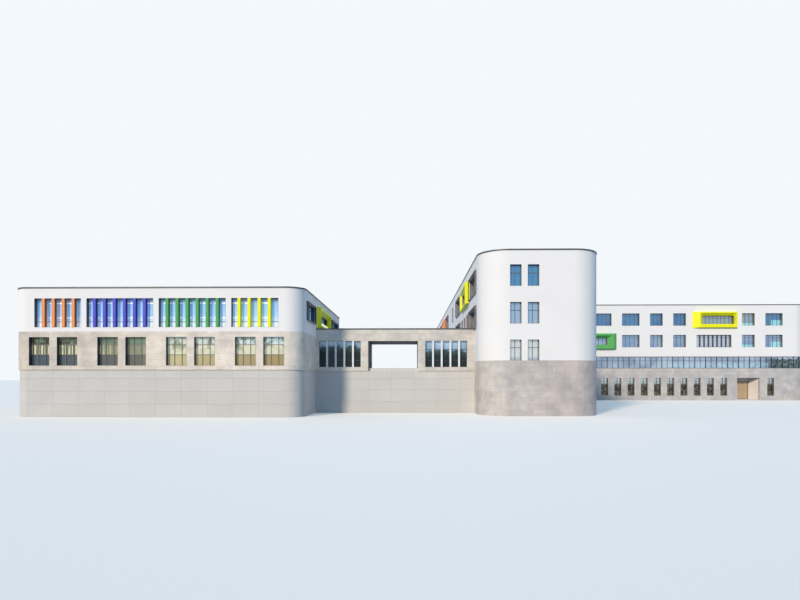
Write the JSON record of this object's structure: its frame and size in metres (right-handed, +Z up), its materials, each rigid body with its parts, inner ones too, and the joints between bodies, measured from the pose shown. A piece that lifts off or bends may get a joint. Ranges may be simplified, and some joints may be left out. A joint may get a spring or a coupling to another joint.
{
  "type": "school building, 1:10 scale model",
  "caption": "Scale model of a long school with round-cornered white wings on stone bases, coloured fins and box frames, a walk-through link and a hinged entrance door.",
  "frame": {"origin": "middle of the plan, on the lowest ground", "axes": "+X right along the front, +Y back, +Z up"},
  "size_m": [10.413, 8.842, 1.6],
  "materials": {
    "white_render": "matte smooth render",
    "stone_cladding": "honed panels",
    "concrete": "plain concrete",
    "roof_finish": "ballasted flat roof",
    "coping_metal": "satin",
    "dark_frame": "satin",
    "dark_lining": "matte",
    "cream_lining": "smooth render",
    "window_glass": "clear",
    "timber": "oiled",
    "white_paint": "satin",
    "orange_paint": "satin",
    "blue_paint": "satin",
    "green_paint": "satin",
    "yellow_paint": "satin"
  },
  "bodies": {
    "building": {"blue_fins": "blue_paint", "entrance_back_wall": "cream_lining", "entrance_ceiling": "dark_lining", "entrance_door_frame": "dark_frame", "entrance_door_header": "cream_lining", "entrance_side_walls": "cream_lining", "far_wing_floors": "concrete", "far_wing_glass": "window_glass", "far_wing_stone_end_wall": "stone_cladding", "far_wing_stone_front_and_rear_walls": "stone_cladding", "far_wing_white_end_wall": "white_render", "far_wing_white_front_and_rear_walls": "white_render", "glazed_band_corner_frames": "dark_frame", "glazed_band_glass": "window_glass", "glazed_band_straight_frames": "dark_frame", "green_box_frames": "green_paint", "green_fins": "green_paint", "link_floor": "concrete", "link_foundation": "concrete", "link_front_and_rear_walls": "stone_cladding", "link_passage_ceiling": "dark_lining", "link_passage_walls": "dark_lining", "link_window_fins": "white_paint", "orange_box_frame": "orange_paint", "orange_fins": "orange_paint", "portal_and_entrance_lintels": "stone_cladding", "roof_copings": "coping_metal", "spine_floors": "concrete", "spine_glass": "window_glass", "spine_roof": "roof_finish", "spine_stone_end_walls": "stone_cladding", "spine_stone_side_walls": "stone_cladding", "spine_white_end_walls": "white_render", "spine_white_side_walls": "white_render", "stone_wall_corners": "stone_cladding", "west_link_and_far_roofs": "roof_finish", "west_wing_and_link_glass": "window_glass", "west_wing_floors": "concrete", "west_wing_foundation": "concrete", "west_wing_stone_front_and_rear_walls": "stone_cladding", "west_wing_stone_side_walls": "stone_cladding", "west_wing_white_front_and_rear_walls": "white_render", "west_wing_white_side_walls": "white_render", "white_wall_corners": "white_render", "yellow_box_frames": "yellow_paint", "yellow_fins": "yellow_paint"},
    "left_leaf": {"entrance_door_left_leaf": "timber"},
    "right_leaf": {"entrance_door_right_leaf": "timber"}
  },
  "joints": [
    {"name": "entrance_left_hinge", "type": "hinge", "parent": "building", "child": "left_leaf", "pos_m": [4.096, 0.061, 0.0215], "axis": [0, 0, -1], "range_deg": [0, 90]},
    {"name": "entrance_right_hinge", "type": "hinge", "parent": "building", "child": "right_leaf", "pos_m": [4.25, 0.061, 0.0215], "axis": [0, 0, 1], "range_deg": [0, 90]}
  ]
}
